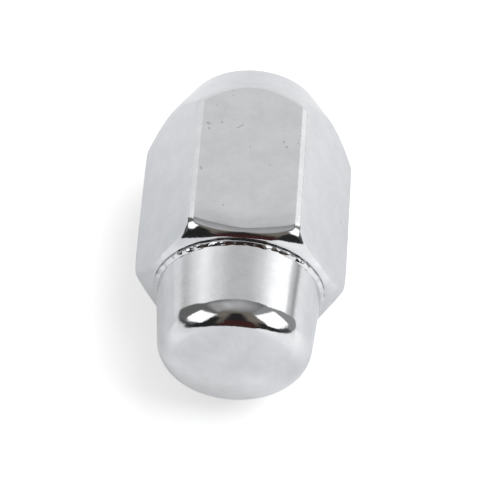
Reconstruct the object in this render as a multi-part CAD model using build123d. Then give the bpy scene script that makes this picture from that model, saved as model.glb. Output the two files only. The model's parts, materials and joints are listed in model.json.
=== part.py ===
"""Closed-end wheel lug nut: a hexagonal nut body with a 60 degree conical seat and a hollow domed cap.

The cap is a drawn steel cup. Its rim sits on the flat end of the nut body and is resistance-welded
there, which squeezes a rough flash out all round the seam. Both pieces are then plated together.

Frame: millimetres. The thread axis is Y and the origin is the middle of the seat-end face. +Y points
out of the nut, the way the stud leaves, so the body and then the dome lie towards -Y. +Z is up, and
the nut lies on one of its hexagon's flats.
"""
import os
from math import cos, degrees, pi, radians, sin, tan

from build123d import *

# Nut body
across_flats = 19.0          # the hexagon's spanner size
hex_corner_radius = 0.8      # rounding of the six long corners
body_length = 23.7           # from the seat-end face to the flat end that carries the cap
seat_cone_angle = 60.0       # included angle of the conical seat
seat_face_radius = 7.05      # radius of the small end of the seat cone
seat_face_break = 0.15       # chamfer between the seat cone and the seat-end face
shoulder_radius = 4.9        # profile radius of the rounded shoulder at the cap end
shoulder_end_angle = 68.0    # slope of the shoulder to the axis where it reaches the lip
lip_inset = 0.68             # how far the lip, the flat end's outer edge, lies inside the hexagon's flats
lip_break = 0.15             # chamfer on the lip

# Thread, M12 x 1.5: the plain wall stands at the thread's major radius
thread_major_radius = 6.0
mouth_radius = 6.4           # radius of the lead-in chamfer at both ends of the hole
mouth_angle = 90.0           # included angle of the lead-in chamfer

# Dome cap
cap_height = 10.2            # from the cap's rim to the tip of the dome
cap_inset = 0.39             # how far the cap's side lies inside the lip at its rim
cap_taper = 5.15             # slope of the cap's side to the axis
cap_edge_radius = 2.55       # rounding between the side and the crowned end
cap_crown_radius = 19.5      # spherical crown of the end
cap_wall = 1.1               # sheet thickness of the cup

# Weld flash round the seam
flash_runs = 14              # separate runs of squeezed-out metal round the seam
flash_radius = 0.38          # mean section radius of a run
flash_variation = 0.09       # how much the section radius differs from run to run
flash_lift = 0.30            # height of a run's middle over the seam
flash_overlap = 1.2          # length of a run, in shares of the circle
flash_sides = 6              # facets round a run's section
flash_turn = 2.4             # step from run to run, in radians, of their uneven sizes and turns

# What follows from them
lip_radius = across_flats / 2 - lip_inset
cap_base_radius = lip_radius - cap_inset
cap_seam = -body_length      # the rim sits metal to metal on the body's flat end


def outward(section):
    """A half section, drawn with X as radius and Y as height along the axis, turned all the way round."""
    full_turn = revolve(section, Axis.Y, 360)
    return Rot(0, 90, 0) * full_turn


def hex_bar():
    """Hexagonal bar with rounded corners, one pair of flats level, as long as the body."""
    section = RegularPolygon(across_flats / 2, 6, major_radius=False)
    section = fillet(section.vertices(), hex_corner_radius)
    return extrude(Plane.XZ * section, body_length)


def cone_blank(reach):
    """Solid inside the conical seat, from the seat-end face out to radius 'reach'."""
    widening = reach - seat_face_radius
    depth = widening / tan(radians(seat_cone_angle / 2))
    section = make_face(
        Polyline(
            (0, 0),
            (seat_face_radius, 0),
            (reach, -depth),
            (reach, -depth - body_length),
            (0, -depth - body_length),
            close=True,
        )
    )
    edge = section.vertices().sort_by(Axis.Y)[-2:].sort_by(Axis.X)[-1]
    return outward(chamfer(edge, seat_face_break))


def shoulder_blank():
    """Solid inside the rounded shoulder, which curves in from the hexagon's corners to the lip."""
    slope = radians(shoulder_end_angle)
    centre_r = lip_radius - shoulder_radius * cos(slope)
    centre_y = -body_length + shoulder_radius * sin(slope)
    reach = centre_r + shoulder_radius
    arc = CenterArc((centre_r, centre_y), shoulder_radius, -shoulder_end_angle, shoulder_end_angle)
    rest = Polyline(
        (reach, centre_y),
        (reach, centre_y + body_length),
        (0, centre_y + body_length),
        (0, -body_length),
        (lip_radius, -body_length),
    )
    section = make_face([arc, rest])
    lip = section.vertices().sort_by(Axis.Y)[:2].sort_by(Axis.X)[-1]
    return outward(chamfer(lip, lip_break))


def stud_hole():
    """The hole for the stud, right through the body, with a lead-in chamfer at each end."""
    chamfer_depth = (mouth_radius - thread_major_radius) / tan(radians(mouth_angle / 2))
    return outward(
        make_face(
            Polyline(
                (0, 0),
                (mouth_radius, 0),
                (thread_major_radius, -chamfer_depth),
                (thread_major_radius, chamfer_depth - body_length),
                (mouth_radius, -body_length),
                (0, -body_length),
                close=True,
            )
        )
    )


def nut_body():
    """Forged hexagon with the conical seat at one end, the rounded shoulder at the other and the hole."""
    corner_reach = across_flats / 2 / cos(pi / 6)
    return hex_bar() & cone_blank(corner_reach) & shoulder_blank() - stud_hole()


def dome(inset):
    """The cap's outer form drawn 'inset' inside its surface: tapered side, crowned end, round edge."""
    rim_radius = cap_base_radius - inset / cos(radians(cap_taper))
    crown = cap_crown_radius - inset
    height = cap_height - inset
    top_radius = rim_radius - cap_height * tan(radians(cap_taper))
    side = make_face(
        Polyline(
            (0, cap_seam),
            (rim_radius, cap_seam),
            (top_radius, cap_seam - cap_height),
            (0, cap_seam - cap_height),
            close=True,
        )
    )
    crown_disc = Pos(0, cap_seam - height + crown) * Circle(crown)
    section = side & crown_disc
    edge = section.vertices().sort_by(Axis.X)[-2:].sort_by(Axis.Y)[0]
    return outward(fillet(edge, cap_edge_radius - inset))


def flash_run(index):
    """One run of weld flash: a faceted bead with a flat foot on the body's end, over part of the circle."""
    bead = flash_radius + flash_variation * sin(flash_turn * index)
    reach = 4 * flash_radius
    section = Pos(cap_base_radius, cap_seam - flash_lift) * Rot(0, 0, degrees(flash_turn * index))
    above_seam = Pos(cap_base_radius, cap_seam - reach / 2) * Rectangle(reach, reach)
    share = 360 / flash_runs
    run = revolve(section * RegularPolygon(bead, flash_sides) & above_seam, Axis.Y, share * flash_overlap)
    return Rot(0, share * index, 0) * run


def weld_flash():
    """Every run of flash, round the whole seam."""
    return [flash_run(index) for index in range(flash_runs)]


def dome_cap():
    """Drawn cup of even wall, open at the rim, with the weld flash round its outside."""
    return dome(0) + weld_flash() - dome(cap_wall)


os.makedirs("parts", exist_ok=True)
export_step(nut_body(), "parts/nut_body.step")
export_step(dome_cap(), "parts/dome_cap.step")
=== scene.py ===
# %% [markdown]
# # A closed-end lug nut, chrome plated
#
# The object is a wheel nut of two pieces of steel. A forged hexagon with a 60 degree cone at its
# open end takes the stud, and a drawn dome closes its other end. The dome is welded on, which
# leaves a ragged ring of squeezed-out metal at the seam, and both are then plated together.
#
# Chrome has no colour of its own to speak of: it shows its surroundings. So half of this lesson is
# about clean curves, and the other half about what stands around the nut for it to mirror.

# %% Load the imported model
import json
from math import atan2, cos, degrees, hypot, pi, radians, sin, sqrt, tan

import bmesh
import bpy
from mathutils import Euler, Matrix, Vector


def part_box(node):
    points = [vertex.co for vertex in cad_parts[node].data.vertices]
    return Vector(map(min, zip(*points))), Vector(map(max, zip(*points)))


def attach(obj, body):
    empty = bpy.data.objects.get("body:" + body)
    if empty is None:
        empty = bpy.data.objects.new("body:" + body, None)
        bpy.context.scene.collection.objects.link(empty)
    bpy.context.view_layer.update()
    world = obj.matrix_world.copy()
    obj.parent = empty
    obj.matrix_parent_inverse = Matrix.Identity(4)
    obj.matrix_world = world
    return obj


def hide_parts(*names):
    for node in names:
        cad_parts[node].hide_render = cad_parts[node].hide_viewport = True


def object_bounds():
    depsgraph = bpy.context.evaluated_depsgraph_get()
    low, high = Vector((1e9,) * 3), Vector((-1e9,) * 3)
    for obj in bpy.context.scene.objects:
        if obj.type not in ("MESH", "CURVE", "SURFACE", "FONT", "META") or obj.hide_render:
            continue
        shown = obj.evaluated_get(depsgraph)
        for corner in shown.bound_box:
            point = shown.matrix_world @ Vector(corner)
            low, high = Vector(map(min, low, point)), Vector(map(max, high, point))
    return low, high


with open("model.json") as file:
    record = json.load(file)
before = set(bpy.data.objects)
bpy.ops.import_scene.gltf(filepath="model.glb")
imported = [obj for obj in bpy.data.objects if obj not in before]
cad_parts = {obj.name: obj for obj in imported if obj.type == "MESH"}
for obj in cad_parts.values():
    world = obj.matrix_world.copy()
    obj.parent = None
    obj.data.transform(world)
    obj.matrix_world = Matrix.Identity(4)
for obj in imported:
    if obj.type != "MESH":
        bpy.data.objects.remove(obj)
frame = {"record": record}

cad_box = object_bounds()
print("CAD box in mm:", [[round(v * 1000, 2) for v in corner] for corner in cad_box])

# %% [markdown]
# ## Sizes
#
# Everything is in metres, so a small unit helps: `mm` turns workshop sizes into metres. What the
# frame knows, such as the spanner size, the lengths and the thread's radius, is read from it. The
# rest are the roundings, the slopes and the wall, which the frame can't tell. Welding swelled the
# body's end by a hair, so the seam is drawn that much nearer the dome than it lies in the frame.

# %% Sizes
mm = 0.001

body_low, body_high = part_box("nut_body")
cap_low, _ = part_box("dome_cap")
mounts = {mount["name"]: mount for mount in frame["record"]["mounts"]}

across_flats = body_high.z - body_low.z
body_length = body_high.y - body_low.y
weld_swelling = 0.12 * mm
seam = body_low.y - weld_swelling
cap_height = seam - cap_low.y
thread_major_radius = mounts["thread"]["dims"]["r_mm"] * mm

hex_corner_width = 0.80 * mm
seat_half_angle = radians(30)
seat_face_radius = 7.05 * mm
seat_face_break = 0.15 * mm
shoulder_radius = 5.3 * mm
shoulder_end_angle = radians(68)
lip_inset = 0.68 * mm
lip_break_radius = 0.06 * mm

cap_inset = 0.39 * mm
cap_taper = radians(5.15)
cap_edge_radius = 2.66 * mm
cap_crown_radius = 19.5 * mm
cap_wall = 1.1 * mm

lip_radius = across_flats / 2 - lip_inset
cap_base_radius = lip_radius - cap_inset
shoulder_centre_radius = lip_radius - shoulder_radius * cos(shoulder_end_angle)
shoulder_centre_height = seam + shoulder_radius * sin(shoulder_end_angle)
turning_steps = 360

print(f"across flats {across_flats / mm:.2f} mm")
print(f"body {body_length / mm:.2f} mm, cap {cap_height / mm:.2f} mm")

# %% [markdown]
# ## Working like a turner
#
# Most of this nut is turned: its shape is an outline swept round the thread's axis. The same few
# steps come back for each turned shape, so they are short helpers. One draws an outline by
# extruding a single point from corner to corner, one spins it round, and one applies a modifier.
# An operator acts on all that is selected, so each helper deselects everything first.

# %% Helpers for modelling
def only(piece):
    """Makes 'piece' the one selected and active object."""
    if bpy.context.object and bpy.context.object.mode != "OBJECT":
        bpy.ops.object.mode_set(mode="OBJECT")
    bpy.ops.object.select_all(action="DESELECT")
    piece.select_set(True)
    bpy.context.view_layer.objects.active = piece


def select_everything():
    """Selects the whole mesh that is open in edit mode."""
    bpy.ops.mesh.select_all(action="SELECT")


def edit(piece):
    """Opens 'piece' in edit mode with all of its points selected."""
    only(piece)
    bpy.ops.object.mode_set(mode="EDIT")
    bpy.ops.mesh.select_mode(type="VERT")
    select_everything()


def close_edit(face_outwards=False):
    """Leaves edit mode, if asked after turning every face of the closed surface outwards."""
    if face_outwards:
        select_everything()
        bpy.ops.mesh.normals_make_consistent(inside=False)
    bpy.ops.object.mode_set(mode="OBJECT")


def cut_level(height, way):
    """Cuts the open solid level at a height and closes it; 'way' is the side that goes, 1 or -1."""
    select_everything()
    plane = {"plane_co": (0, height, 0), "plane_no": (0, way, 0), "threshold": 0.0001 * mm}
    bpy.ops.mesh.bisect(**plane, use_fill=True, clear_outer=True)


def settle(piece):
    """Puts the piece's place and turn into its mesh, so that its object sits at the origin."""
    only(piece)
    bpy.ops.object.transform_apply(location=True, rotation=True, scale=True)


def apply_modifier(piece, kind, **settings):
    """Adds one modifier, sets it up and applies it."""
    only(piece)
    modifier = piece.modifiers.new(kind.lower(), kind)
    for name, value in settings.items():
        setattr(modifier, name, value)
    bpy.ops.object.modifier_apply(modifier=modifier.name)


def arc(centre, radius, start, end, steps):
    """Points on an arc; angle 0 points straight out from the axis and a quarter turn towards +Y."""
    turns = [start + (end - start) * step / steps for step in range(steps + 1)]
    return [(centre[0] + radius * cos(turn), centre[1] + radius * sin(turn)) for turn in turns]


def draw(name, points):
    """An outline in the XY plane: one point, extruded from each corner to the next."""
    bpy.ops.mesh.primitive_plane_add(size=mm, location=(points[0][0], points[0][1], 0))
    piece = bpy.context.object
    piece.name = name
    edit(piece)
    bpy.ops.mesh.merge(type="CENTER")
    for start, end in zip(points, points[1:]):
        step = (end[0] - start[0], end[1] - start[1], 0)
        bpy.ops.mesh.extrude_region_move(TRANSFORM_OT_translate={"value": step})
    close_edit()
    settle(piece)
    return piece


def turn_on_lathe(name, points, steps=turning_steps):
    """Spins an outline, X as radius and Y as height, all the way round the thread's axis."""
    piece = draw(name, points)
    edit(piece)
    bpy.ops.mesh.spin(steps=steps, angle=2 * pi, center=(0, 0, 0), axis=(0, 1, 0))
    select_everything()
    bpy.ops.mesh.remove_doubles(threshold=0.0005 * mm)
    bpy.ops.mesh.dissolve_degenerate(threshold=0.0002 * mm)
    close_edit(face_outwards=True)
    return piece


def cut_away(piece, other):
    """Cuts the second solid from the first and throws the second away."""
    apply_modifier(piece, "BOOLEAN", object=other, operation="DIFFERENCE", solver="EXACT")
    bpy.data.objects.remove(other)
    edit(piece)
    bpy.ops.mesh.remove_doubles(threshold=0.002 * mm)
    close_edit()
    return piece


def triangles(piece):
    return sum(len(face.vertices) - 2 for face in piece.data.polygons)


def report(piece):
    """Prints how many triangles a piece has and whether its surface is closed."""
    mesh = bmesh.new()
    mesh.from_mesh(piece.data)
    open_edges = sum(1 for edge in mesh.edges if not edge.is_manifold)
    volume = mesh.calc_volume(signed=True) / mm**3
    mesh.free()
    print(f"{piece.name}: {triangles(piece)} triangles, {open_edges} open edges, {volume:.0f} mm3")


# %% [markdown]
# ## The hexagon and its soft corners
#
# The nut starts as hexagonal bar. Its long corners are polished to narrow strips, nearly flat in
# their middle and turned quickly at both sides, and those strips are what catches the light. The
# cross-section is kept as a list of bearings and radii, with points close together at the corners.

# %% Cross-section of the bar
flat_steps = 44
corner_steps = 14


def corner_strip():
    """Points across a corner as (along, out); it turns 60 degrees in all, mostly near both sides."""
    points = [Vector((0, 0))]
    for step in range(corner_steps):
        share = (2 * step + 1) / corner_steps - 1
        turn = -radians(30) * share**3
        points.append(points[-1] + Vector((cos(turn), sin(turn))))
    scale = hex_corner_width / points[-1].x
    sharp_corner = across_flats / 2 / cos(pi / 6)
    start = Vector((-hex_corner_width / 2, sharp_corner - hex_corner_width / 2 * tan(pi / 6)))
    return [start + point * scale for point in points]


def bar_section():
    """(bearing, radius) round the hexagon, starting on the top flat."""
    strip = corner_strip()
    flat_turn = pi / 6 + atan2(strip[0].x, strip[0].y)
    section = []
    for side in range(6):
        middle = side * pi / 3
        for step in range(flat_steps):
            turn = -flat_turn + 2 * flat_turn * step / flat_steps
            section.append((middle + turn, across_flats / 2 / cos(turn)))
        for point in strip[:-1]:
            section.append((middle + pi / 6 + atan2(point.x, point.y), point.length))
    return section


section = bar_section()
widest = max(radius for _, radius in section)
print(f"{len(section)} points round the bar, radius {widest / mm:.2f} mm at the corners")

# %% [markdown]
# ## Turning both ends
#
# Both ends of the bar are turned: a 60 degree cone that seats in the wheel, and at the other end a
# full round shoulder that runs in to a small lip. The lathe's outline is a list of steps, each with
# a radius, a height along the axis and the slope there, which is the change of radius with height.
# The steps lie close where a flat or a corner of the bar runs out into the turned shape.

# %% The lathe's outline
break_steps = 6
shoulder_steps = 66
lip_slope = 2.5
coarse_reaches = [7.4, 8.2, 9.0]                           # on the plain cone, in mm from the axis
close_reaches = [9.2 + 0.06 * step for step in range(40)]  # where the flats run out into the cone
past_corners = 12.0
along_flats = (8.0, 4.0, 2.0, 1.0, 0.5)                    # in mm before the shoulder starts to turn in


def seat_outline():
    """The rounded edge of the seat-end face and the cone, as (radius, height, slope)."""
    slope = tan(seat_half_angle)
    centre = (seat_face_radius - seat_face_break, -seat_face_break)
    edge = arc(centre, seat_face_break, pi / 2, seat_half_angle, break_steps)
    steps = [(x, y, slope) for x, y in edge]
    start_x, start_y = edge[-1]
    for reach in [*coarse_reaches, *close_reaches, past_corners]:
        steps.append((reach * mm, start_y - (reach * mm - start_x) / slope, slope))
    return steps


def shoulder_outline():
    """From beyond the flats round the shoulder to the lip and its rounded edge."""
    centre_x, centre_y = shoulder_centre_radius, shoulder_centre_height
    steps = [(centre_x + shoulder_radius, centre_y + lift * mm, 0) for lift in along_flats]
    lip_start = shoulder_end_angle - radians(1.5)
    for step in range(shoulder_steps + 1):
        turn = lip_start * step / shoulder_steps
        radius = centre_x + shoulder_radius * cos(turn)
        steps.append((radius, centre_y - shoulder_radius * sin(turn), tan(turn)))
    lip_centre = (lip_radius - lip_break_radius * 0.9, seam + lip_break_radius)
    edge = arc(lip_centre, lip_break_radius, -shoulder_end_angle, -pi / 2, break_steps)
    return steps + [(x, y, lip_slope) for x, y in edge]


outline = seat_outline() + shoulder_outline()
print(len(outline), "steps along the nut")

# %% [markdown]
# ## From bar to nut
#
# A Boolean would leave a knife edge where a flat meets the shoulder, and a bevel along that curved
# edge breaks up at the corners. Real forging and polishing leave it soft, so the two shapes are
# blended instead. The bar is a circle, extruded once for each step. Then every point moves in or
# out to the smaller of the two radii, the bar's and the lathe's, and where these are nearly equal
# the smaller is taken softly. Polishing also rounds a flat off by a hair before it ends. At the cone
# that fall is even. At the shoulder there are a long one, deepest a little off the flat's middle,
# and a short one over the edge. They bend the mirror, so a grey line runs above the shoulder.

# %% Blend bar and lathe
middle_height = -body_length / 2
inradius = across_flats / 2

# how wide the soft change is at the cone, at the shoulder, and by how much less at its corners
seat_blend = 0.50 * mm
shoulder_blend = 0.24 * mm
corner_blend = -0.02 * mm
# how much further out than a flat a corner lies, as a share
corner_excess = 0.137

# how deep the flats fall away, and how far before their edge that starts
seat_fall, seat_fall_reach = 0.034 * mm, 1.5 * mm
long_fall, long_reach = 0.085 * mm, 2.4 * mm
short_fall, short_reach = 0.12 * mm, 0.6 * mm
# how much deeper the long fall is beside a flat's middle, and how wide that is
side_fall, side_width = 0.11 * mm, 5 * mm


def within(value):
    """The value, held between 0 and 1."""
    return max(0.0, min(1.0, value))


def soft_least(first, second, blend):
    """The smaller of two lengths, rounded off where they differ by less than 'blend'."""
    if blend <= 0:
        return min(first, second)
    share = within(0.5 + 0.5 * (second - first) / blend)
    return second + (first - second) * share - blend * share * (1 - share)


def soft_step(value):
    """0 before 0, 1 after 1, and a soft step between them."""
    value = within(value)
    return value * value * (3 - 2 * value)


def polished(bar, lathe, height):
    """The bar's radius, less what polishing took off near the two ends of its flats."""
    if height > middle_height:
        nearness = within(1 - (lathe - bar) / seat_fall_reach)
        return bar - seat_fall * nearness**2
    reach = sqrt(shoulder_radius**2 - (bar - shoulder_centre_radius) ** 2)
    before_edge = height - (shoulder_centre_height - reach)
    off_middle = sqrt(max(0.0, bar**2 - inradius**2))
    depth = long_fall + side_fall * max(0.0, sin(pi * off_middle / side_width))
    long_part = depth * max(0.0, 1 - before_edge / long_reach) ** 2
    short_part = short_fall * soft_step(0.5 - 0.5 * before_edge / short_reach)
    return bar - long_part - short_part


def blend_at(bar, height):
    """How wide the soft change from bar to lathe is; at the shoulder it is sharper at the corners."""
    if height > middle_height:
        return seat_blend
    cornered = (bar / inradius - 1) / corner_excess
    return shoulder_blend + corner_blend * cornered**2


def forge(name):
    """A disc, extruded once for each step of the outline, whose points then move to their radius."""
    count, upright = len(section), (pi / 2, 0, 0)
    bpy.ops.mesh.primitive_circle_add(vertices=count, radius=1, fill_type="NGON", rotation=upright)
    piece = bpy.context.object
    piece.name = name
    settle(piece)
    edit(piece)
    for _ in outline[1:]:
        bpy.ops.mesh.extrude_region_move(TRANSFORM_OT_translate={"value": (0, -1, 0)})
    close_edit()
    for vertex in piece.data.vertices:
        place = vertex.co
        bearing, bar = section[round(atan2(place.x, place.z) / (2 * pi / count)) % count]
        lathe, height, slope = outline[round(-place.y)]
        radius = soft_least(polished(bar, lathe, height), lathe, blend_at(bar, height) * slope)
        vertex.co = (radius * sin(bearing), height, radius * cos(bearing))
    edit(piece)
    close_edit(face_outwards=True)
    return piece


nut = forge("nut_body_plated")
report(nut)

# %% [markdown]
# ## Drilling and tapping
#
# The stud's thread is M12 x 1.5, right-handed. A machinist drills first and taps after, and so does
# this cell. The drill is another turned shape with a lead-in at each end. The tap is one tooth of
# the thread, carried up a helix by the Screw modifier, cut level at both ends and taken away from
# the nut. A bump map could fake it, but the thread shows its teeth against the light in the mouth.

# %% Drill and tap
thread_pitch = 1.5 * mm
drill_radius = 5.2 * mm
mouth_radius = 6.4 * mm
overrun = 0.6 * mm
tooth_sink = 0.1 * mm
spare_turns = 5
thread_steps = 96


def drill():
    """A drill for the whole length, with a 90 degree countersink at each end."""
    lead_in = mouth_radius - drill_radius
    wide = mouth_radius + overrun
    top = [(0, overrun), (wide, overrun), (drill_radius, -lead_in)]
    bottom = [(drill_radius, seam + lead_in), (wide, seam - overrun), (0, seam - overrun)]
    return turn_on_lathe("drill", top + bottom)


def tap():
    """One 60 degree tooth, carried up a helix past both ends and cut level there."""
    crest, root = thread_major_radius, drill_radius - tooth_sink
    crest_half = thread_pitch / 16
    root_half = crest_half + (crest - root) * tan(radians(30))
    half = thread_pitch / 2
    lower = [(root, -half), (root, -root_half), (crest, -crest_half)]
    upper = [(crest, crest_half), (root, root_half), (root, half)]
    turns = int(body_length / thread_pitch) + spare_turns
    start = middle_height - turns * half
    piece = draw("tap", [(x, y + start) for x, y in lower + upper])
    helix = {"axis": "Y", "angle": 2 * pi, "screw_offset": thread_pitch, "iterations": turns}
    apply_modifier(piece, "SCREW", **helix, steps=thread_steps, render_steps=thread_steps)
    edit(piece)
    bpy.ops.mesh.remove_doubles(threshold=0.002 * mm)
    cut_level(overrun, 1)
    cut_level(seam - overrun, -1)
    close_edit(face_outwards=True)
    return piece


cutter = tap()
span = [vertex.co.y / mm for vertex in cutter.data.vertices]
print(f"tap runs from {min(span):.1f} to {max(span):.1f} mm")
report(cutter)

nut = cut_away(cut_away(nut, drill()), cutter)
report(nut)

# %% [markdown]
# ## The dome
#
# The cap is drawn from sheet: a cup with a slightly tapered side, a round edge and a softly crowned
# end. Its outline is three tangent curves, so the mirror runs over it with no kink. The same
# formula, asked for a curve 1.1 mm further in, gives the inside of the cup, and one spin makes both.

# %% Dome cap
def cup_curve(inset, steps):
    """Outline of the cup's surface from its rim to the axis, 'inset' below the outside."""
    crown_centre = Vector((0, seam - cap_height + cap_crown_radius))
    rim = Vector((cap_base_radius, seam))
    along = Vector((-sin(cap_taper), -cos(cap_taper)))
    out = Vector((cos(cap_taper), -sin(cap_taper)))
    start = rim - out * cap_edge_radius - crown_centre
    reach = cap_crown_radius - cap_edge_radius
    travel = -start.dot(along) + sqrt(start.dot(along) ** 2 - start.length_squared + reach**2)
    edge_centre = crown_centre + start + along * travel
    turn = atan2(edge_centre.y - crown_centre.y, edge_centre.x)
    edge = arc(edge_centre, cap_edge_radius - inset, -cap_taper, turn, steps)
    crown = arc(crown_centre, cap_crown_radius - inset, turn, -pi / 2, steps)
    return [(cap_base_radius - inset / cos(cap_taper), seam), *edge, *crown[1:-1], (0, crown[-1][1])]


outside = cup_curve(0, 20)
inside = cup_curve(cap_wall, 10)
dome = turn_on_lathe("dome_cap_plated", outside[::-1] + inside)
report(dome)

# %% [markdown]
# ## Weld flash
#
# Resistance welding squeezes soft steel out of the seam, and it freezes there as a ragged little
# ring with lumps and gaps. It starts as a turned ring: a rounded outer edge, a sloping face towards
# the dome and a root sunk in both pieces. Three Displace modifiers, long swellings, torn teeth and a
# fine grain, do the damage, and one level cut lays it on the nut's end face.

# %% Weld flash
flash_rim = (cap_base_radius + 0.30 * mm, seam - 0.36 * mm)
flash_face_radius = 1.2 * mm
flash_face_start, flash_face_end = radians(-43), radians(-64)
flash_edge_inset, flash_edge_radius = 0.08 * mm, 0.09 * mm
flash_foot_radius = cap_base_radius - 0.45 * mm
flash_foot_drop = 0.03 * mm
flash_root_radius = cap_base_radius + 0.12 * mm
flash_root_height = seam + 0.1 * mm
flash_steps = 900


def roughen(piece, kind, grain, depth, level=0.5, **settings):
    """Pushes the surface in and out by 'depth', with lumps about 'grain' across."""
    texture = bpy.data.textures.new(kind.lower(), kind)
    texture.noise_scale = grain
    for name, value in settings.items():
        setattr(texture, name, value)
    push = {"texture": texture, "texture_coords": "LOCAL", "strength": depth, "mid_level": level}
    apply_modifier(piece, "DISPLACE", **push)


def flash_outline():
    """The ring's cross-section: rounded outer edge, sloping face and root, back to where it began."""
    rim_x, rim_y = flash_rim
    centre_x = rim_x - flash_face_radius * cos(flash_face_start)
    centre_y = rim_y - flash_face_radius * sin(flash_face_start)
    face = arc((centre_x, centre_y), flash_face_radius, flash_face_start, flash_face_end, 12)
    edge_centre = (rim_x - flash_edge_inset, rim_y + flash_edge_inset)
    edge = arc(edge_centre, flash_edge_radius, radians(100), radians(-30), 6)
    root = [
        (flash_foot_radius, face[-1][1] - flash_foot_drop),
        (flash_foot_radius, flash_root_height),
        (flash_root_radius, flash_root_height),
    ]
    return [*edge, *face, *root, edge[0]]


def weld_flash():
    """The turned ring, roughened and laid on the nut's end face."""
    piece = turn_on_lathe("weld_flash", flash_outline(), steps=flash_steps)
    roughen(piece, "CLOUDS", grain=1.6 * mm, depth=0.14 * mm)
    roughen(piece, "VORONOI", grain=1.1 * mm, depth=-0.15 * mm, level=0.4)
    roughen(piece, "CLOUDS", grain=0.45 * mm, depth=0.02 * mm, noise_depth=1)
    edit(piece)
    cut_level(seam, 1)
    close_edit(face_outwards=True)
    return piece


flash = weld_flash()
report(flash)

# %% [markdown]
# ## Smooth shading
#
# A mirror shows every facet, so the turned surfaces are shaded smooth. Flats must stay flat: the
# Weighted Normal modifier lets the big flats decide the normals along their edges, and the narrow
# strips and blends between them do the turning.

# %% Shade and place the pieces
def shade(piece, angle):
    """Smooth shading, except over edges sharper than 'angle', with the larger faces deciding."""
    only(piece)
    bpy.ops.object.shade_smooth_by_angle(angle=angle)
    apply_modifier(piece, "WEIGHTED_NORMAL", keep_sharp=True, weight=80)


shade(nut, radians(28))
shade(dome, radians(40))
only(flash)
bpy.ops.object.shade_smooth()

for piece, node in ((nut, "nut_body"), (dome, "dome_cap")):
    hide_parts(node)
for piece in (nut, dome, flash):
    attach(piece, "root")
    print(piece.name, "rides on root")

# %% [markdown]
# ## Writing shader maths
#
# A node tree is easier to read as sums. `Wire` wraps one socket, and adding or multiplying wires
# adds the Math nodes. `Graph.node` places any other node: its type, its settings, then its sockets.
# The other methods are for what comes back often, such as a place in millimetres or a soft step.

# %% Shader helpers
class Wire:
    """One output socket that can be used in a sum."""

    def __init__(self, graph, socket):
        self.graph, self.socket = graph, socket

    def math(self, operation, *others):
        sockets = dict(enumerate((self, *others)))
        return self.graph.node("Math", {"operation": operation}, sockets)

    def __add__(self, other):
        return self.math("ADD", other)

    def __sub__(self, other):
        return self.math("SUBTRACT", other)

    def __mul__(self, other):
        return self.math("MULTIPLY", other)

    def __truediv__(self, other):
        return self.math("DIVIDE", other)

    def __rsub__(self, other):
        return self.graph.node("Math", {"operation": "SUBTRACT"}, {0: other, 1: self})

    def most(self, other):
        """The larger of the two."""
        return self.math("MAXIMUM", other)

    def least(self, other):
        """The smaller of the two."""
        return self.math("MINIMUM", other)

    def ramp(self, start, end):
        """0 before 'start', 1 after 'end', and a soft step between them."""
        sockets = {"Value": self, "From Min": start, "From Max": end}
        return self.graph.node("MapRange", {"interpolation_type": "SMOOTHSTEP"}, sockets)

    def fall(self, start, end):
        """1 before 'start', 0 after 'end', and a soft step between them."""
        return 1 - self.ramp(start, end)


class Graph:
    """A node tree that is built from nothing."""

    def __init__(self, owner):
        owner.use_nodes = True
        self.tree = owner.node_tree
        self.tree.nodes.clear()

    def node(self, kind, settings=None, sockets=None, output=0):
        """Adds a node, sets it up, fills or links its sockets and returns one output as a Wire."""
        new = self.tree.nodes.new("ShaderNode" + kind)
        for name, value in (settings or {}).items():
            if name == "stops":
                self.set_stops(new.color_ramp.elements, value)
            else:
                setattr(new, name, value)
        for name, value in (sockets or {}).items():
            if isinstance(value, Wire):
                self.tree.links.new(value.socket, new.inputs[name])
            else:
                new.inputs[name].default_value = value
        return Wire(self, new.outputs[output]) if new.outputs else None

    def set_stops(self, elements, stops):
        """Gives a colour ramp its stops; a new ramp has only two."""
        while len(elements) < len(stops):
            elements.new(1.0)
        for element, (position, colour) in zip(elements, stops):
            element.position, element.color = position, colour

    def vector(self, operation, *values, output=0):
        """Vector Math; output 0 is the vector it gives, and 1 the number."""
        return self.node("VectorMath", {"operation": operation}, dict(enumerate(values)), output)

    def scaled(self, vector, factor):
        return self.node("VectorMath", {"operation": "SCALE"}, {0: vector, "Scale": factor})

    def part(self, vector, axis):
        """One of a vector's three numbers: axis 0 is X, 1 is Y and 2 is Z."""
        return self.node("SeparateXYZ", None, {0: vector}, axis)

    def millimetres(self):
        """Where a point lies on the object, in millimetres, so that patterns have workshop sizes."""
        return self.scaled(self.node("TexCoord", output="Object"), 1 / mm)

    def from_axis(self, place):
        """How far a place lies from the thread's axis."""
        return self.vector("LENGTH", self.vector("MULTIPLY", place, (1, 0, 1)), output=1)

    def rays(self):
        """1 on what the camera sees, and 1 on what is seen in a mirror or through something."""
        sight = self.node("LightPath", output="Is Camera Ray")
        mirrored = self.node("LightPath", output="Is Glossy Ray")
        through = self.node("LightPath", output="Is Transmission Ray")
        return sight, mirrored + through

    def noise(self, place, scale, detail=2.0, roughness=0.5):
        sockets = {"Vector": place, "Scale": scale, "Detail": detail, "Roughness": roughness}
        return self.node("TexNoise", None, sockets)

    def mix(self, factor, first, second):
        """The first colour where 'factor' is 0, the second where it is 1."""
        sockets = {"Factor": factor, 6: first, 7: second}
        return self.node("Mix", {"data_type": "RGBA"}, sockets, output=2)

    def ramp(self, factor, stops):
        """A colour ramp; each stop is a position from 0 to 1 and a colour."""
        return self.node("ValToRGB", {"stops": stops}, {0: factor})


print("shader helpers are ready")

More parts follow.
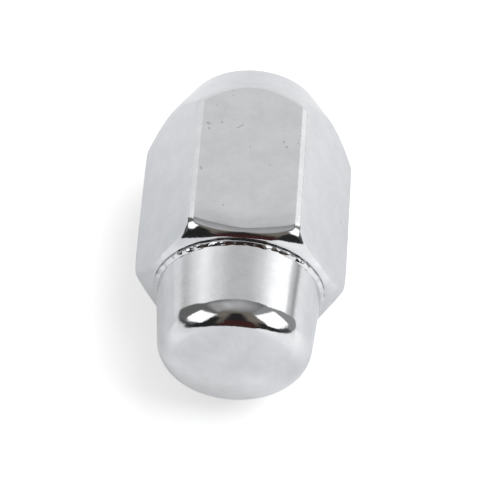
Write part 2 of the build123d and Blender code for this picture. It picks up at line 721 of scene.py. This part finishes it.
# %% [markdown]
# ## Chrome
#
# Chrome is nearly all mirror: fully metallic, a cool light grey, and almost no roughness. What
# makes it look made rather than computed is small: faint waves left by polishing the steel under
# it, the lines that drawing left along the cap, slightly uneven gloss, and the pits that plating
# doesn't fill. The pits sit where a real nut has a few, each one a short stroke with two ends and a
# width. The hexagon's long corners have small knocks from handling, and the groove along the weld
# gets painted shade, a painted reflection of the dark front, most of all on its upper side.

# %% Chrome plating
chrome_light = (0.690, 0.694, 0.707, 1)
chrome_deep = (0.618, 0.624, 0.634, 1)
pit_colour = (0.17, 0.17, 0.18, 1)
# painted shade for the weld's groove
groove_shade_colour = (0.02, 0.02, 0.02, 1)

# depths in millimetres
wave_depth = 0.010
knock_depth = 0.012
pit_depth = 0.004

# each pit's start, end and width in millimetres
nut_pits = [
    ((-4.55, -9.80, 9.5), (-4.35, -9.90, 9.5), 0.13),
    ((-4.36, -10.45, 9.5), (-4.30, -10.60, 9.5), 0.10),
    ((-3.07, -9.56, 9.5), (-3.05, -9.60, 9.5), 0.10),
    ((-1.49, -10.20, 9.5), (-0.91, -9.74, 9.5), 0.07),
    ((3.36, -11.55, 9.5), (3.42, -11.62, 9.5), 0.10),
    ((3.68, -12.15, 9.5), (3.78, -12.30, 9.5), 0.10),
    ((-0.02, -12.55, 9.5), (0.00, -12.66, 9.5), 0.06),
    ((-4.79, -15.65, 9.5), (-4.72, -15.95, 9.5), 0.09),
    ((-2.25, -20.35, 9.5), (-2.23, -20.42, 9.5), 0.08),
    ((-2.33, -5.15, 9.5), (-2.28, -5.20, 9.5), 0.06),
    ((-3.74, -7.33, 9.5), (-3.70, -7.40, 9.5), 0.06),
    ((5.56, -18.04, 9.45), (5.68, -18.80, 9.42), 0.07),
    ((9.92, -15.25, 1.82), (9.90, -15.40, 1.86), 0.09),
    ((9.16, -14.26, 3.13), (9.12, -14.36, 3.20), 0.07),
    ((-4.50, -3.12, 7.56), (-4.16, -3.20, 7.80), 0.05),
    ((-0.84, -3.18, 8.79), (-0.80, -3.20, 8.79), 0.05),
    ((-2.16, -5.84, 9.5), (-2.12, -5.88, 9.5), 0.06),
    ((1.50, -14.45, 9.5), (1.55, -14.50, 9.5), 0.05),
    ((2.12, -14.71, 9.5), (2.18, -14.75, 9.5), 0.05),
    ((3.01, -16.07, 9.5), (3.06, -16.12, 9.5), 0.05),
    ((4.80, -11.50, 9.5), (4.84, -11.62, 9.5), 0.05),
    ((5.06, -10.55, 9.5), (5.10, -10.64, 9.5), 0.05),
    ((6.56, -9.44, 7.62), (6.60, -9.48, 7.60), 0.05),
    ((7.98, -9.62, 5.18), (8.00, -9.66, 5.14), 0.05),
]


def pits_mask(graph, place, pits):
    """1 inside any pit and 0 outside. A point's distance to a pit is its distance to the stroke."""
    mask = None
    for start, end, width in pits:
        stroke = Vector(end) - Vector(start)
        offset = graph.vector("SUBTRACT", place, start)
        along = graph.vector("DOT_PRODUCT", offset, stroke / stroke.length_squared, output=1)
        nearest = graph.scaled(stroke, along.most(0).least(1))
        distance = graph.vector("DISTANCE", offset, nearest, output=1)
        pit = distance.fall(width * 0.5, width * 1.4)
        mask = pit if mask is None else mask.most(pit)
    return mask


def groove_shade_mask(graph, place, top, bottom, outer=None):
    """How much painted shade darkens the weld's groove: between two heights, and inside a radius if
    given.
    """
    height = graph.part(place, 1)
    # the painted shade is strongest on the groove's upper side, where it stands for a reflection of the
    # dark front
    upper_side = graph.part(place, 2).ramp(5.6, 7.8)
    mask = height.fall(top - 0.04, top) * height.ramp(bottom - 0.08, bottom)
    mask = mask * (upper_side * 0.9 + 0.1)
    if outer:
        mask = mask * graph.from_axis(place).fall(outer - 0.08, outer)
    return mask


def chrome(name, pits=(), lines=0.0, grain=0.0005, roughness=0.045, groove=None, corner=None):
    """
    Chrome plating. 'lines' and 'grain' are depths in mm: of lines along the axis and of a fine grain.
    'groove' says where the weld's groove gets painted shade, and 'corner' how far out the knocked
    corners start.
    """
    material = bpy.data.materials.new(name)
    graph = Graph(material)
    place = graph.millimetres()
    cloud = graph.noise(place, scale=0.45, detail=3, roughness=0.6)
    smudge = graph.noise(place, scale=0.42, detail=8, roughness=0.74)
    specks = graph.noise(place, scale=2.2, detail=2, roughness=0.5).ramp(0.70, 0.76)
    height = cloud * wave_depth + graph.noise(place, scale=5.0, detail=3, roughness=0.6) * grain
    if lines:
        stretched = graph.node("Mapping", None, {"Vector": place, "Scale": (1, 0.03, 1)})
        height = height + graph.noise(stretched, scale=5.5, detail=2, roughness=0.7) * lines
    if corner:
        knocks = graph.noise(place, scale=1.5, detail=3, roughness=0.7).ramp(0.50, 0.72)
        on_corner = graph.from_axis(place).ramp(corner - 0.06, corner)
        height = height - on_corner * knocks * knock_depth
    plated = graph.mix(smudge.ramp(0.30, 0.70), chrome_deep, chrome_light)
    plated = graph.mix(specks * 0.10, plated, pit_colour)
    gloss = cloud * 0.03 + roughness
    if pits:
        holes = pits_mask(graph, place, pits)
        height = height - holes * pit_depth
        plated = graph.mix(holes * 0.38, plated, pit_colour)
        gloss = gloss + holes * 0.15
    # painted shade in the weld's groove: darker and a little duller
    if groove:
        groove_shade = groove_shade_mask(graph, place, *groove)
        plated = graph.mix(groove_shade * 0.30, plated, groove_shade_colour)
        gloss = gloss + groove_shade * 0.12
    bump = graph.node("Bump", None, {"Height": height, "Distance": mm, "Strength": 1.0})
    sockets = {"Base Color": plated, "Metallic": 1.0, "Roughness": gloss, "Normal": bump}
    surface = graph.node("BsdfPrincipled", None, sockets)
    graph.node("OutputMaterial", None, {"Surface": surface})
    return material


def coat(piece, material):
    """Gives a piece one material."""
    piece.data.materials.clear()
    piece.data.materials.append(material)
    print(piece.name, "is finished in", material.name)


seam_place = seam / mm
# where the weld's groove gets painted shade, in mm: top, bottom and, on the nut, the outer radius
nut_groove = (seam_place + 0.12, seam_place - 0.5, lip_radius / mm - 0.08)
flash_groove = (seam_place + 0.5, seam_place - 0.14)
corner_start = hypot(inradius, inradius * tan(pi / 6) - 0.6 * hex_corner_width) / mm
coat(nut, chrome("chrome_plate_on_forging", nut_pits, groove=nut_groove, corner=corner_start))
coat(dome, chrome("chrome_plate_on_drawn_cap", lines=0.0022, grain=0.0045))
coat(flash, chrome("chrome_plate_on_weld", roughness=0.08, groove=flash_groove))

# %% [markdown]
# ## Floor and light
#
# The nut lies on a flat of its hexagon on a plain white table. The floor is matt white and lit to
# almost full white. A little glow that only the camera sees lifts it to pure white and leaves the
# shadow alone. A real table is lit unevenly, here more at the right and at the back, and chrome
# shows that at once, so a second glow, uneven and slightly warm, is for the mirror alone. Neither
# throws light on anything. One broad lamp, high up at the right, makes the soft shadow. The table
# ends not far in front of the nut, so that the dome sees the studio beyond it.

# %% Floor and lamps
floor_level = cad_box[0].z
table_white = (0.765, 0.779, 0.798, 1)
glow_colour = (1.0, 0.98, 0.955, 1)
glow_in_sight = 0.45
# in metres, clockwise from the far left
table_corners = [(-4, 4), (4, 4), (4, -4), (0.33, -1.0), (0.024, -0.152), (0, -0.148), (-4, -0.87)]


def grey(level):
    return (level, level, level, 1)


def mirrored_glow(graph):
    """How much light the mirror sees the table give, by the place on it in millimetres."""
    place = graph.millimetres()
    across, along = graph.part(place, 0), graph.part(place, 1)
    right_side = across.ramp(-6, 45)
    right = right_side * (along.ramp(0, 18) * 0.05 + 0.175)
    far_right = across.ramp(36, 56) * 0.06
    left = across.fall(-24, -16) * along.ramp(2, 22) * 0.11
    front = along.fall(-46, -28) * 0.08
    front_left = across.fall(-24, -11) * along.fall(-46, -30)
    front_right = across.ramp(9, 22) * along.fall(-34, -16)
    front_sides = (front_left + front_right) * (along.ramp(-85, -45) * 0.13 + 0.05)
    back = along.ramp(-8, 20) * (0.14 - along.ramp(50, 100) * 0.03) * across.ramp(-38, -18)
    beside_dome = along.ramp(-43, -36) * along.fall(-16, -8) * 0.19
    beside_dome = beside_dome * across.ramp(-20, -11) * across.fall(3, 12)
    glow = right + far_right + left + front + front_sides
    return glow + back * (1 - right_side) + beside_dome


def white_table():
    """Matt white, with the two glows that the camera and the mirror see added to it."""
    material = bpy.data.materials.new("matt_white_table")
    graph = Graph(material)
    sight, mirrored = graph.rays()
    glow = graph.mix(sight * glow_in_sight + mirrored * mirrored_glow(graph), grey(0), glow_colour)
    matt = graph.node("BsdfDiffuse", None, {"Color": table_white})
    shine = graph.node("Emission", None, {"Color": glow, "Strength": 1.0})
    surface = graph.node("AddShader", None, {0: matt, 1: shine})
    graph.node("OutputMaterial", None, {"Surface": surface})
    return material


def floor():
    """The table top: its outline, filled with one face and brought to the nut's lowest point."""
    piece = draw("table", table_corners)
    edit(piece)
    bpy.ops.mesh.edge_face_add()
    bpy.ops.transform.translate(value=(0, 0, floor_level))
    close_edit(face_outwards=True)
    coat(piece, white_table())


def lamp(name, azimuth, elevation, width, strength):
    """Light from far off, 'width' degrees across. Azimuth 0 is in front and 90 at the right."""
    turn, lift = radians(azimuth), radians(elevation)
    way = Vector((sin(turn) * cos(lift), -cos(turn) * cos(lift), sin(lift)))
    bpy.ops.object.light_add(type="SUN", location=way)
    light = bpy.context.object
    light.name = name
    light.rotation_euler = way.to_track_quat("Z", "Y").to_euler()
    light.data.angle = radians(width)
    light.data.energy = strength
    light.visible_glossy = False


floor()
lamp("key", azimuth=100, elevation=58, width=55, strength=1.8)

# %% [markdown]
# ## What the chrome sees
#
# In a studio, chrome is lit by what stands round it. Here the world holds that surround: a light
# wall at the back, a grey ceiling, dark sides, two white windows in front and, in the dark gap
# between them, someone in a red shirt and a dark coat. A patch is given by its corners, each a
# compass bearing and a height over the table, both in degrees. Bearing 0 is in front and 90 at the
# right. Its sides are straight, as a real window's are, and more or less soft. Only the mirror sees
# all this: matt things get one even light instead, and the camera sees plain white.
#
# The patches were found by following the mirror's lines of sight from the camera off the nut.

# %% Patches of the studio surround
# the share of light that the plating mirrors
reflectance = 0.66


def seen(level, red=1.0, blue=1.0):
    """The light that looks 'level' bright once it is mirrored in the plating."""
    light = level / reflectance
    return (light * red, light, light * blue, 1)


wall_corners = [(116, -30), (116, 40.5), (180, 66.5), (-112, 43), (-115, -30)]
# height in degrees over the table, and how bright the wall looks there
back_wall = [
    (-10, 0.62), (1, 0.61), (5, 0.51), (9, 0.49), (14, 0.54), (18, 0.62), (23, 0.67), (27, 0.73),
    (31, 0.80), (35, 0.82), (39, 0.77), (43, 0.72), (46, 0.65), (51, 0.60), (54, 0.555), (57, 0.50),
    (60, 0.46), (63, 0.435), (68, 0.39),
]
# colour, softness in degrees, and corners
on_the_wall = {
    "plain middle": (
        seen(0.655), 6, [(128, -12), (-128, -12), (-130, 28), (-150, 45), (150, 45), (130, 28)]),
    "middle": (seen(0.56), 6, [(160, 30), (-160, 30), (-165, 57), (165, 57)]),
    "upper middle": (seen(0.475), 10, [(160, 53), (-160, 53), (-165, 61), (165, 61)]),
    "lit side": (seen(0.80), 8, [(114, 14), (150, 14), (150, 45), (114, 45)]),
    "bright side": (seen(1.04), 6, [(114, 16), (127, 16), (127, 43), (114, 43)]),
    "gap beside it": (seen(0.31), 5, [(112, 2.5), (124, 2.5), (124, 7.5), (112, 7.5)]),
}
on_the_ceiling = {
    "glow": (seen(0.28), 14, [(-110, 48), (-38, 45), (-32, 70), (-114, 70)]),
    "lamp": (seen(0.42), 16, [(-110, 66), (-30, 66), (-20, 80), (-120, 80)]),
}
in_front = {
    "dark left side": (
        seen(0.115), 5, [(-117.5, -12), (-30, -12), (-30, 45), (-108, 44), (-117.5, 30)]),
    "left side's foot": (seen(0.040), 7, [(-84, -12), (-30, -12), (-30, 6), (-60, 7), (-84, 11)]),
    "pale strip at the left": (seen(0.60), 4, [(-116, -14), (-56, -14), (-58, 1.5), (-116, 2.5)]),
    "right side": (
        seen(0.24, red=0.98), 4, [(30, -12), (118.5, -12), (117.5, 14), (116, 50), (30, 52)]),
    "right side's foot": (seen(0.050), 12, [(20, -12), (76, -12), (70, 11), (20, 12)]),
    "front": (seen(0.125, red=1.12, blue=0.86), 9, [(-36, -14), (36, -14), (36, 54), (-36, 54)]),
    "dark foot": (seen(0.022), 8, [(-42, -15), (46, -15), (44, 5), (-42, 5)]),
    "dark at the left": (seen(0.016), 8, [(-46, -15), (-14, -15), (-20, 31), (-42, 31)]),
    "dark at the right": (seen(0.018), 8, [(16, -15), (48, -15), (44, 20), (22, 20)]),
    "dark coat": (seen(0.016, red=1.1), 8, [(-14, 12), (14, 12), (12, 52), (-12, 52)]),
    "red shirt": (
        seen(0.014, red=2.8, blue=0.95), 6, [(-14, -15), (18, -15), (18, 21), (-13, 19)]),
    "left window": (
        seen(1.08), 2.5, [(-75, 15), (-62, 11), (-35, 10), (-33, 40), (-55, 42), (-79, 39)]),
    "right window": (
        seen(1.08), 2.5, [(35, 14), (42, 10), (64, 11), (85, 14), (101, 40), (64, 49), (34, 47)]),
}


def heading(corner):
    """The direction of a corner that is given by bearing and height in degrees."""
    bearing, height = map(radians, corner)
    return Vector((sin(bearing) * cos(height), -cos(bearing) * cos(height), sin(height)))


def patch_mask(graph, way, soft, corners):
    """1 inside the patch. Each side is a plane through the nut, and inside means over all of them."""
    directions = [heading(corner) for corner in corners]
    middle = sum(directions, Vector())
    half = radians(soft) / 2
    mask = None
    for start, end in zip(directions, directions[1:] + directions[:1]):
        side = start.cross(end).normalized()
        if side.dot(middle) < 0:
            side.negate()
        over = graph.vector("DOT_PRODUCT", way, side, output=1).ramp(-half, half)
        mask = over if mask is None else mask * over
    return mask


print(f"patches: {len(on_the_ceiling)} on the ceiling, {len(on_the_wall)} on the wall,")
print(f"and {len(in_front)} in front")

# %% [markdown]
# The ceiling brightens from its edge to straight overhead. The wall is one long patch whose
# brightness changes with height, so a colour ramp holds its steps, and it is laid over the ceiling.
# The rest comes over both, one patch after another.

# %% Studio surround
def laid_over(graph, way, colour, patches):
    """A colour with each patch laid over it in turn."""
    for paint, soft, corners in patches.values():
        colour = graph.mix(patch_mask(graph, way, soft, corners), colour, paint)
    return colour


def wall_light(graph, height):
    """How bright the wall looks at a height in degrees."""
    lowest, highest = back_wall[0][0], back_wall[-1][0]
    stops = [((step - lowest) / (highest - lowest), seen(level)) for step, level in back_wall]
    return graph.ramp((height - lowest) / (highest - lowest), stops)


def studio():
    """The world: the surround for the mirror, one even light for matt things, white for the camera."""
    world = bpy.data.worlds.new("studio")
    bpy.context.scene.world = world
    graph = Graph(world)
    way = graph.node("TexCoord", output="Generated")
    height = graph.part(way, 2).math("ARCSINE") * degrees(1)
    colour = graph.mix(height.ramp(42, 92), seen(0.10), seen(0.36))
    colour = laid_over(graph, way, colour, on_the_ceiling)
    colour = graph.mix(patch_mask(graph, way, 4, wall_corners), colour, wall_light(graph, height))
    colour = laid_over(graph, way, colour, on_the_wall)
    colour = laid_over(graph, way, colour, in_front)
    sight, mirrored = graph.rays()
    even = graph.node("Background", None, {"Color": grey(1), "Strength": 0.58})
    mirror = graph.node("Background", None, {"Color": colour, "Strength": 1.0})
    white = graph.node("Background", None, {"Color": grey(1), "Strength": 1.0})
    lit = graph.node("MixShader", None, {0: mirrored, 1: even, 2: mirror})
    shown = graph.node("MixShader", None, {0: sight, 1: lit, 2: white})
    graph.node("OutputWorld", None, {"Surface": shown})


studio()

# %% [markdown]
# ## Camera
#
# A long lens from a third of a metre, looking down on the dome end, with the nut turned a little in
# the frame. The view transform is Standard, so white stays white.

# %% Camera
def camera(azimuth, elevation, roll, distance, lens):
    """Looks at the nut's middle from a bearing and a height in degrees, and sets the scene's camera."""
    aim = Vector((-0.306, -17.204, 0)) * mm
    turn, lift = radians(azimuth), radians(elevation)
    back = Vector((sin(turn) * cos(lift), -cos(turn) * cos(lift), sin(lift)))
    bpy.ops.object.camera_add(location=aim + back * distance)
    view = bpy.context.object
    view.name = "camera"
    level = Euler((pi / 2 - lift, 0, turn)).to_matrix()
    view.rotation_euler = (level @ Matrix.Rotation(radians(roll), 3, "Z")).to_euler()
    view.data.lens = lens
    view.data.clip_start = 0.01
    bpy.context.scene.camera = view


camera(azimuth=0.26, elevation=51.94, roll=4.27, distance=0.3223, lens=234.5)
bpy.context.scene.view_settings.view_transform = "Standard"
